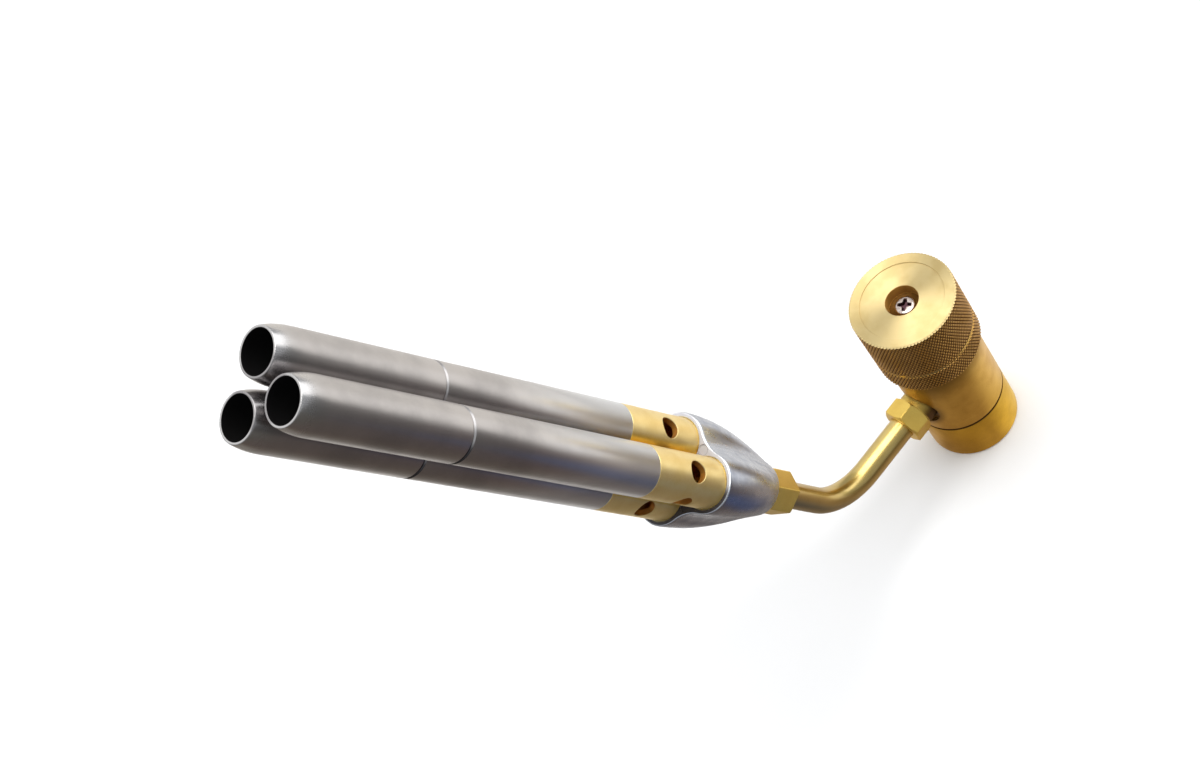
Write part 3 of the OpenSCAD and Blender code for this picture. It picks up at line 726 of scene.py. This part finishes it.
# Gas tube: drawn brass tube, bent cold round a former, polished and lacquered, so it shines more than
# the rest. It is soldered into both hexagon fittings, and the bend leaves it a little flattened.
bend_reach = 52.0
bend_angle = math.radians(68)
bend_r = 20.0
bend_run = bend_r * math.tan(bend_angle / 2)
fitting_at = 31.5
tube_gap = 0.2
bend_flat = 0.025
bend_steps, straight_steps = 28, 8
heat_from, heat_to = 44.0, 62.0
tube_start, tube_stop = hex_end - tube_in + tube_gap, fitting_at + tube_in - tube_gap
along = Vector((math.cos(bend_angle), 0, math.sin(bend_angle)))
bend_x = bend_reach - bend_run
corner_at = Vector((bend_reach, 0, outlet_z))
stations = []
for i in range(straight_steps):
    x = tube_start + (bend_x - tube_start) * i / straight_steps
    stations.append((Vector((x, 0, outlet_z)), 0.0))
for i in range(bend_steps + 1):
    t = bend_angle * i / bend_steps
    bent = Vector((bend_r * math.sin(t), 0, bend_r * (1 - math.cos(t))))
    stations.append((Vector((bend_x, 0, outlet_z)) + bent, t))
for i in range(1, straight_steps + 1):
    s = bend_run + (tube_stop - bend_run) * i / straight_steps
    stations.append((corner_at + along * s, bend_angle))


def tube_loop(station, radius, count=64):
    """A section of the tube, slightly flattened in the middle of the bend."""
    centre, t = station
    up = Vector((-math.sin(t), 0, math.cos(t)))
    flat = bend_flat * math.sin(math.pi * t / bend_angle)
    loop = []
    for i in range(count):
        a = math.tau * i / count
        across = Vector((0, radius * (1 + flat) * math.sin(a), 0))
        loop.append(tuple(centre + up * radius * (1 - flat) * math.cos(a) + across))
    return loop


loops = [tube_loop(s, tube_r) for s in stations] + [tube_loop(s, tube_bore_r) for s in reversed(stations)]
gas_tube = made("gas_tube_bent", skin(loops), crease=40)
tube_brass = Finish("tube_brass")
clouds = tube_brass.noise(tube_brass.place, scale=0.13, detail=5.0)
polish = tube_brass.noise(tube_brass.place, scale=2.6, detail=4.0, rough=0.7)
tarnish = (clouds * 0.8 + polish * 0.2).between(0.4, 0.66)
heat = tube_brass.x.between(heat_from, heat_to)
drawn = tarnish.mix((0.68, 0.495, 0.145), (0.58, 0.41, 0.10))
tube_brass.set(
    Base_Color=(heat * 0.3).mix(drawn, (0.40, 0.27, 0.08)),
    Metallic=1.0,
    Roughness=0.3 + tarnish * 0.07 + (polish - 0.5) * 0.04,
    Coat_Weight=0.5,
    Coat_Roughness=0.12,
    Coat_IOR=1.9,
    Normal=tube_brass.bump(polish * 0.02 + clouds, 0.004),
)
gas_tube.data.materials.append(tube_brass.material)
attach(gas_tube, "torch")
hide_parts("gas_tube")

# Manifold fitting: a longer piece of the same hexagon bar, between the gas tube and the casting.
# Its spigot is pressed into the casting's neck, and only its tube end has the corners taken off.
fitting_len = 11.5
spigot_len = 7.0
long_chamfer = 0.3
neck_s = fitting_at + fitting_len
burner_axis = Matrix.Translation(corner_at * MM) @ Matrix.Rotation(math.pi / 2 - bend_angle, 4, "Y")
section = hexagon(math.radians(2))
loops = [facing(section, r, s) for r, s in (
    (gas_r, fitting_at + tube_in), (sleeve_r, fitting_at + tube_in),
    (sleeve_r, fitting_at + lead_in), (sleeve_r + lead_in, fitting_at),
)]
loops += hexagon_loops(section, fitting_at, neck_s, (long_chamfer, 0.0))
loops += [facing(section, r, s) for r, s in (
    (plug_r, neck_s), (plug_r, neck_s + spigot_len), (gas_r, neck_s + spigot_len),
)]
long_hex = made("manifold_fitting_hexagon", skin(loops))
long_hex.matrix_world = burner_axis
long_hex.data.materials.append(bar_brass.material)
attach(long_hex, "torch")
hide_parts("manifold_fitting")

# Manifold: a die casting in dull grey alloy. Its round neck swells into three lobes, one for each
# burner. The front is trimmed after casting and keeps three round ejector marks. Its rounded rim is
# bright from trimming and also carries a painted highlight, the edge of its neck has a painted highlight,
# and its lowest web is painted in shade.
casting_len = 35.0
face_s = neck_s + casting_len
casting_neck_r = 7.8
cluster_r = 8.55
cluster_turn = math.radians(100)
burner_r = 7.0
lobe_wall = 1.5
lobe_r = burner_r + lobe_wall
waist_r = 11.35
swell = 2.1
casting_edge = 0.5
collar_in = 8.0
mark_r, mark_deep, mark_at, mark_draft = 1.5, 0.2, 9.25, 0.04
fillet_r = lobe_r**2 - cluster_r**2 - waist_r**2 + cluster_r * waist_r
fillet_r /= 2 * waist_r - cluster_r - 2 * lobe_r
casting_count, pocket_count, mark_count = 180, 72, 32
swell_steps = 40


def lobes(turn):
    """Distance from the middle to the three-lobed outline."""
    third = math.tau / 3
    off = abs((turn + third / 2) % third - third / 2)
    far = waist_r + fillet_r
    share = lobe_r / (lobe_r + fillet_r)
    touch_x = cluster_r + (far * math.cos(third / 2) - cluster_r) * share
    touch = math.atan2(far * math.sin(third / 2) * share, touch_x)
    if off < touch:
        return cluster_r * math.cos(off) + math.sqrt(lobe_r**2 - (cluster_r * math.sin(off)) ** 2)
    off = third / 2 - off
    return far * math.cos(off) - math.sqrt(fillet_r**2 - (far * math.sin(off)) ** 2)


def casting_loop(s, share, inset):
    """A section of the casting, a share of the way from its round neck to its lobes."""
    loop = []
    for i in range(casting_count):
        t = math.tau * i / casting_count
        r = casting_neck_r + share * (lobes(t) - casting_neck_r) - inset
        loop.append((r * math.cos(t), r * math.sin(t), s))
    return loop


def circle(x, y, radius, height, count):
    """A ring of points about an upright line through x and y."""
    return [(x + px, y + py, pz) for px, py, pz in ring(radius, height, count)]


quarter = [math.pi / 2 * i / 4 for i in range(5)]
rounding = [(casting_edge * (1 - math.sin(q)), casting_edge * (1 - math.cos(q))) for q in quarter]
span = casting_len - 2 * casting_edge
socket_end = neck_s + spigot_len + port_gap
loops = [ring(r, s, casting_count) for r, s in (
    (0, socket_end), (port_r, socket_end), (port_r, neck_s + lead_in), (port_r + lead_in, neck_s),
)]
loops += [casting_loop(neck_s + back, 0, inset) for back, inset in reversed(rounding)]
for i in range(1, swell_steps + 1):
    u = i / swell_steps
    loops.append(casting_loop(neck_s + casting_edge + span * u, 1 - (1 - u) ** swell, 0))
loops += [casting_loop(face_s - back, 1, inset) for back, inset in rounding[1:]]
skins = [skin(loops, closed=False)]
pocket_r = burner_r + fit_gap
pocket = [
    (pocket_r + lead_in, face_s), (pocket_r, face_s - lead_in),
    (pocket_r, face_s - collar_in), (0, face_s - collar_in),
]
mark = [(mark_r, face_s), (mark_r - mark_draft, face_s - mark_deep), (0, face_s - mark_deep)]
for k in range(3):
    t = math.tau * k / 3
    x, y = cluster_r * math.cos(t), cluster_r * math.sin(t)
    skins.append(skin([circle(x, y, r, s, pocket_count) for r, s in pocket], closed=False))
    x, y = mark_at * math.cos(t + math.pi / 3), mark_at * math.sin(t + math.pi / 3)
    skins.append(skin([circle(x, y, r, s, mark_count) for r, s in mark], closed=False))
manifold = made("manifold_cast", *skins, crease=35)
manifold.matrix_world = burner_axis @ Matrix.Rotation(cluster_turn, 4, "Z")
cast = Finish("cast_alloy")
turn = cast.start.maths("ARCTAN2", cast.y, cast.x)
flow = cast.noise(cast.at(turn * 9.0, cast.z * 0.06, 0.0), detail=4.0)
mottle = cast.noise(cast.place, scale=0.28, detail=6.0, rough=0.62)
pits = cast.noise(cast.place, scale=2.4, detail=4.0, rough=0.7)
dull = (mottle * 0.6 + flow * 0.4).between(0.38, 0.66)
normal = cast.start.node("ShaderNodeTexCoord", output="Normal")
upright = cast.start.node("ShaderNodeSeparateXYZ", inputs={0: normal}).out("Z")
flat_face = upright.between(0.93, 0.99) * cast.z.between(face_s - 0.4, face_s - 0.3)
# The rounded rim is bright from trimming and also carries a painted highlight.
trimmed_and_highlit_rim = cast.z.between(face_s - 0.35, face_s - 0.2)
# A painted highlight along the edge of the neck.
neck_highlight = (1 - cast.z.between(neck_s + 0.3, neck_s + 0.9)) * 0.6
outlines = 0.0
for k in range(3):
    t = math.tau * k / 3 + math.pi / 3
    off_x, off_y = cast.x - mark_at * math.cos(t), cast.y - mark_at * math.sin(t)
    off = (off_x * off_x + off_y * off_y) ** 0.5 - mark_r
    outlines = outlines + (1 - (off * off).between(0.003, 0.02))
alloy = dull.mix((0.575, 0.615, 0.69), (0.415, 0.455, 0.545))
# The lowest web is painted in shade, and the rim's highlight is dimmed there.
web_turn = math.radians(-60)
shaded_low_web = (cast.x * math.cos(web_turn) + cast.y * math.sin(web_turn)).between(6.0, 9.0)
trimmed_and_highlit_rim = trimmed_and_highlit_rim * (1 - shaded_low_web * 0.75)
bright_and_highlit_edges = trimmed_and_highlit_rim.maths("MAXIMUM", trimmed_and_highlit_rim, neck_highlight).mix(alloy, (0.86, 0.86, 0.87))
face_grey = (outlines * 0.7).mix((0.50, 0.51, 0.57), (0.06, 0.06, 0.07))
face_grey = shaded_low_web.mix(face_grey, (0.05, 0.045, 0.05))
cast.set(
    Base_Color=flat_face.mix(bright_and_highlit_edges, face_grey),
    Metallic=1 - flat_face * 0.75,
    Roughness=0.26 + dull * 0.1 + (pits - 0.5) * 0.12 + flat_face * 0.25,
    Normal=cast.bump(pits * 0.4 + mottle + flow * 0.4, 0.035),
)
manifold.data.materials.append(cast.material)
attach(manifold, "torch")
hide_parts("manifold")

# Air collars: bright turned brass sleeves, pressed into the casting's lobes, each with four round air
# holes drilled round it. A spigot on the front of each one carries its burner tube. The sides that face
# one another are painted in shade, in a deeper gold as of light bounced between the collars. Inside
# the holes and the bore the brass is darker and more orange.
collar_len = 27.7
back_s = face_s - collar_in
tube_s = face_s + collar_len
air_s = face_s + 11.7
air_r = 3.0
air_turns = [math.radians(a) for a in (41, 49, 66)]
jet_hole_r, jet_hole_len = 2.45, 7.0
mixing_r, mixing_end = 5.2, 96.2
throat_r, throat_start, throat_end = 4.5, 100.2, 105.2
mouth_r = 5.75
holder_r, holder_len = 6.35, 7.5
back_chamfer = 0.3
hole_lip = 0.1
inner_side, outer_side = 8.0, 9.5
collar_count = 96
reach = burner_r * math.pi / 4
low, high = air_s - reach, air_s + reach
outside = [
    (jet_hole_r, back_s), (burner_r - back_chamfer, back_s), (burner_r, back_s + back_chamfer),
    (burner_r, low), (burner_r, high), (burner_r, tube_s - soft_edge), (burner_r - soft_edge, tube_s),
    (holder_r, tube_s), (holder_r, tube_s + holder_len),
]
inside = [
    (mouth_r, tube_s + holder_len), (throat_r, throat_end), (throat_r, throat_start),
    (mixing_r, mixing_end), (mixing_r, high), (mixing_r, low),
    (mixing_r, back_s + jet_hole_len), (jet_hole_r, back_s + jet_hole_len),
]
outline = outside + inside
gaps = (outline.index((burner_r, low)), outline.index((mixing_r, high)))


def facing_in(finish):
    """1 where a burner's side faces the middle line of the three, and 0 on its outside."""
    place = finish.start.node("ShaderNodeNewGeometry", output="Position")
    away = place.node("ShaderNodeVectorMath", {"operation": "SUBTRACT"}, {0: place, 1: corner_at * MM})
    across = away.node("ShaderNodeVectorMath", {"operation": "CROSS_PRODUCT"}, {0: away, 1: along})
    length = across.node("ShaderNodeVectorMath", {"operation": "LENGTH"}, {0: across}, output="Value")
    return 1 - (length / MM).between(inner_side, outer_side)


def burner_frame(k):
    """Axes of one of the three burners."""
    t = cluster_turn + math.tau * k / 3
    centre = Matrix.Translation((cluster_r * MM * math.cos(t), cluster_r * MM * math.sin(t), 0))
    return burner_axis @ centre


collar_brass = Finish("collar_brass")
# The sides that face one another are painted in shade, a deeper gold as of light bounced between them.
shaded_inner_side = facing_in(collar_brass)
turned_brass(
    collar_brass, bright=shaded_inner_side.mix((0.91, 0.72, 0.325), (0.84, 0.57, 0.11)),
    stained=shaded_inner_side.mix((0.84, 0.63, 0.25), (0.74, 0.48, 0.085)),
    # Darker and more orange inside the holes and the bore.
    dirt_and_shade=1 - collar_brass.radius.between(burner_r - 0.4, burner_r - 0.1), dirt_and_shade_colour=(0.50, 0.215, 0.035),
    roughness=0.32, lines=5.0, depth=0.004, streak=0.5,
)
collar_brass.set(Metallic=0.84)
side = collar_count // 4
hole = window(burner_r, low, high, side, air_r + soft_edge, (1.0, 0.7, 0.4, 0.18, 0.05, 0.0))
hole += window(burner_r - hole_lip, low, high, side, air_r, (0.0,))
hole += window(mixing_r, low, high, side, air_r, (0.0, 0.1, 0.3, 0.6, 1.0))
skins = [skin([ring(r, s, collar_count) for r, s in outline], gaps=gaps)]
for quarter_turn in range(4):
    spin = Matrix.Rotation(quarter_turn * math.pi / 2, 3, "Z")
    loops = [[tuple(spin @ Vector(p)) for p in loop] for loop in hole]
    skins.append(skin(loops, closed=False))
for k, air_turn in enumerate(air_turns):
    collar = made(f"air_collar_{k + 1}_drilled", *skins)
    collar.matrix_world = burner_frame(k) @ Matrix.Rotation(air_turn, 4, "Z")
    collar.data.materials.append(collar_brass.material)
    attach(collar, "torch")
    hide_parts(f"air_collar_{k + 1}")

# Burner tubes: drawn stainless tube, satin along its length, with a bead rolled in to hold the swirler
# and the tip spun in to a lip. They are pressed on the collars' spigots. Next to the collars they are
# painted lighter, the sides that face one another and the bead's underside are painted in shade, and
# soot blackens the bores.
burner_wall = 0.6
burner_len = 118.6
tip_s = tube_s + burner_len
bead_s = tip_s - 50.7
bead_half, bead_deep = 0.6, 0.3
lip_r, lip_len, lip_power = 5.3, 8.0, 2.4
cut_edge = 0.1
rim_high, rim_low = tip_s - 0.03, tip_s - 0.12
shine_start, shine_end = tip_s - 7.0, tip_s - 1.0
lit_start, lit_stop = tube_s + 4.0, tube_s + 55.0
burner_count, bead_steps, spun_steps = 112, 8, 16
bore_r = burner_r - burner_wall
bead = []
for i in range(-bead_steps, bead_steps + 1):
    u = i / bead_steps
    bead.append((bead_s + bead_half * u, bead_deep * (1 + math.cos(math.pi * u)) / 2))
spun = []
for i in range(spun_steps):
    u = i / spun_steps
    spun.append((tip_s - lip_len + lip_len * u, (bore_r - lip_r) * u**lip_power))
outer = [(burner_r - cut_edge, tube_s), (burner_r, tube_s + cut_edge)]
outer += [(burner_r - d, s) for s, d in bead + spun]
# The corners of the rim are rounded off by about a tenth of a millimetre.
lip_out = lip_r + burner_wall
rim = [(lip_out + 0.03, rim_low), (lip_out - 0.02, rim_high), (lip_out - cut_edge, tip_s)]
rim += [(lip_r + cut_edge, tip_s), (lip_r + 0.03, rim_high), (lip_r + 0.03, rim_low)]
inner = [(bore_r - d, s) for s, d in reversed(bead + spun)]
inner += [(bore_r, tube_s + cut_edge), (bore_r + cut_edge, tube_s)]
steel = Finish("burner_steel")
turn = steel.start.maths("ARCTAN2", steel.y, steel.x)
drawn = steel.noise(steel.at(turn * 40.0, steel.z * 0.05, 0.0), detail=2.0)
grain = steel.noise(steel.place, scale=5.0, detail=2.0)
clouds = steel.noise(steel.place, scale=0.07, detail=6.0)
into_lip = (steel.z - (tip_s - lip_len)) / lip_len
drawn_in = into_lip.maths("MAXIMUM", into_lip, 0.0) ** lip_power * (bore_r - lip_r)
black = 1 - (steel.radius + drawn_in - bore_r).between(0.0, 0.08)
spun_end = steel.z.between(shine_start, shine_end)
scale = clouds.between(0.35, 0.68)
bright = scale.mix((0.58, 0.56, 0.55), (0.47, 0.455, 0.45))
# Next to the collars the steel is painted lighter: painted light.
lit_end = 1 - steel.z.between(lit_start, lit_stop)
bright = (lit_end * 0.85).mix(bright, (0.89, 0.925, 0.97))
polished = (spun_end * 0.6).mix(bright, (0.70, 0.69, 0.68))
scaled = (steel.z.between(tip_s - 0.14, tip_s - 0.04) * 0.4).mix(polished, (0.42, 0.40, 0.38))
off_bead = steel.z - bead_s
in_bead = 1 - (off_bead * off_bead).between(0.5 * bead_half**2, bead_half**2)
# The bead's underside is painted dark, and the sides that face one another are painted in shade.
underside = steel.toward(25).between(0.15, 0.55)
shaded_steel = (in_bead * underside * 0.9).mix(scaled, (0.04, 0.04, 0.05))
shaded_steel = (facing_in(steel) * 0.5).mix(shaded_steel, (0.17, 0.15, 0.155))
satin = 0.33 + scale * 0.04 + (drawn - 0.5) * 0.08 + (grain - 0.5) * 0.1
steel.set(
    Base_Color=black.mix(shaded_steel, (0.008, 0.007, 0.007)),
    Metallic=1 - black * 0.8,
    Roughness=satin - spun_end * 0.1 + black * 0.4,
    Anisotropic=0.3,
    Normal=steel.bump(drawn + grain * 0.2, 0.004),
)
drawn_tube = skin([ring(r, s, burner_count) for r, s in outer + rim + inner])
for k in range(3):
    burner = made(f"burner_tube_{k + 1}_drawn", drawn_tube, crease=50)
    burner.matrix_world = burner_frame(k)
    burner.data.materials.append(steel.material)
    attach(burner, "torch")
    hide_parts(f"burner_tube_{k + 1}")

# Swirlers: six-bladed brass inserts that spin the gas and steady the flame. Each is pushed in against
# the rolled bead, and the flame has burnt them brown and sooty.
burnt = Finish("burnt_brass")
scale = burnt.noise(burnt.place, scale=0.8, detail=5.0).between(0.35, 0.65)
burnt.set(
    Base_Color=scale.mix((0.20, 0.12, 0.05), (0.03, 0.025, 0.02)),
    Metallic=1.0,
    Roughness=0.45 + scale * 0.3,
    Normal=burnt.bump(scale, 0.04),
)
dress(burnt.material, "flame_swirler_1", "flame_swirler_2", "flame_swirler_3")

# Stage: a pale floor under the socket, soft lights, and a tinted card that only reflections see.
# The card gives the metal its dark and bright bands.
floor_half, card_half = 6.0, 5.9
card_height = 0.0006
card_glow = 1.2


def sheet(name, half, height):
    """A flat square sheet on the stage."""
    corners = [(-half, -half), (half, -half), (half, half), (-half, half)]
    mesh = bpy.data.meshes.new(name)
    mesh.from_pydata([(x, y, height) for x, y in corners], [], [(0, 1, 2, 3)])
    flat = bpy.data.objects.new(name, mesh)
    bpy.context.collection.objects.link(flat)
    return flat


floor = sheet("floor", floor_half, 0.0)
paper = Finish("floor_paper")
paper.set(Base_Color=(0.86, 0.86, 0.855), Roughness=0.7, Specular_IOR_Level=0.1)
floor.data.materials.append(paper.material)

card = sheet("reflection_card", card_half, card_height)
card.visible_camera = card.visible_diffuse = card.visible_shadow = card.visible_transmission = False
tint = Finish("reflection_card")
# It is pale round the socket and darkens on a slant beyond it.
slant_turn = math.radians(60)
slant = (tint.x + 15.0) * math.cos(slant_turn) + (tint.y - 8.0) * math.sin(slant_turn)
darkness = (slant - tint.y.between(50.0, 95.0) * 16.0).between(5.0, 90.0)
darkness = darkness.maths("MAXIMUM", darkness, tint.x.between(10.0, 75.0))
pale = tint.x.between(-30.0, 4.0).mix((0.98, 0.95, 0.92), (0.44, 0.35, 0.28))
pale = tint.y.between(-60.0, 10.0).mix((0.80, 0.765, 0.72), pale)
card_stops = (
    (-120, (0.75, 0.73, 0.69)), (-70, (0.52, 0.49, 0.46)), (-40, (0.30, 0.27, 0.245)),
    (0, (0.19, 0.16, 0.14)), (35, (0.12, 0.088, 0.072)), (75, (0.092, 0.068, 0.062)),
    (115, (0.098, 0.074, 0.075)), (200, (0.10, 0.078, 0.075)), (300, (0.085, 0.078, 0.075)),
    (500, (0.085, 0.085, 0.083)), (900, (0.10, 0.10, 0.10)),
)
card_low, card_high = card_stops[0][0], card_stops[-1][0]
stops = [((y - card_low) / (card_high - card_low), colour) for y, colour in card_stops]
along_y = (tint.y - card_low) / (card_high - card_low)
shade = along_y.node("ShaderNodeValToRGB", {"stops": stops}, {"Fac": along_y})
# The dark part has a lighter corner, a darker end beyond the tips, a lit patch that gives the front
# tube its light lower edge, and a cool patch in front of the casting.
corner = tint.x.between(200.0, 290.0) * (1 - tint.y.between(-90.0, -30.0))
shade = corner.mix(shade, (0.22, 0.20, 0.18))
beyond = tint.x.between(130.0, 165.0) * tint.y.between(-150.0, -40.0)
shade = (beyond * 0.45).mix(shade, (0.10, 0.088, 0.073))
lit = (1 - (tint.y + tint.x * 0.81).between(34.0, 66.0)) * tint.x.between(88.0, 104.0)
lit = lit * (1 - tint.x.between(180.0, 220.0))
shade = (lit * 0.6).mix(shade, (1.3, 1.26, 1.2))
cool = tint.x.between(28.0, 55.0) * (1 - tint.x.between(78.0, 105.0))
cool = cool * tint.y.between(0.0, 30.0) * (1 - tint.y.between(190.0, 250.0))
shade = cool.mix(shade, (0.072, 0.086, 0.148))
# Close to the socket it is brown on one side and golden on another.
by_socket = 1 - tint.radius.between(19.0, 29.0)
dark_side = tint.toward(25).between(0.75, 0.98)
light_side = tint.toward(130).between(0.6, 1.0)
stripe = darkness.mix(pale, shade)
stripe = (by_socket * dark_side).mix(stripe, (0.26, 0.19, 0.14))
stripe = (by_socket * light_side).mix(stripe, (0.95, 0.85, 0.45))
tint.set(
    Base_Color=(0, 0, 0), Roughness=1.0, Specular_IOR_Level=0.0,
    Emission_Color=stripe, Emission_Strength=card_glow,
)
card.data.materials.append(tint.material)

world = bpy.data.worlds.new("studio")
world.use_nodes = True
bpy.context.scene.world = world
sky = world.node_tree.nodes["Background"]
sky.inputs["Color"].default_value = (0.92, 0.95, 1.0, 1.0)
sky.inputs["Strength"].default_value = 0.45
bpy.context.scene.view_settings.view_transform = "Standard"
target = Vector((0.06, 0.0, 0.09))
for name, place, size, power in (
    ("overhead", (-0.12, 0.0, 1.5), 1.3, 19.0),
    ("back_panel", (0.2, -1.2, 1.1), 2.2, 9.5),
    ("side_panel", (-1.12, 0.25, 0.8), 1.3, 7.5),
):
    lamp = bpy.data.lights.new(name, "AREA")
    lamp.energy, lamp.size = power, size
    light = bpy.data.objects.new(name, lamp)
    light.location = place
    light.rotation_euler = (target - Vector(place)).to_track_quat("-Z", "Y").to_euler()
    light.visible_camera = False
    bpy.context.collection.objects.link(light)

# Camera: where the photograph was taken from, looking down on the knob and along the tubes.
eye = Vector((0.140064, 0.307282, 0.515404))
look = Vector((-0.120504, -0.637204, -0.761217))
roll = math.radians(-42.69)
lens = bpy.data.cameras.new("camera")
lens.sensor_width, lens.lens = 36.0, 58.058
camera = bpy.data.objects.new("camera", lens)
aim = look.to_track_quat("-Z", "Y").to_matrix().to_4x4()
camera.matrix_world = Matrix.Translation(eye) @ aim @ Matrix.Rotation(roll, 4, "Z")
bpy.context.collection.objects.link(camera)
bpy.context.scene.camera = camera
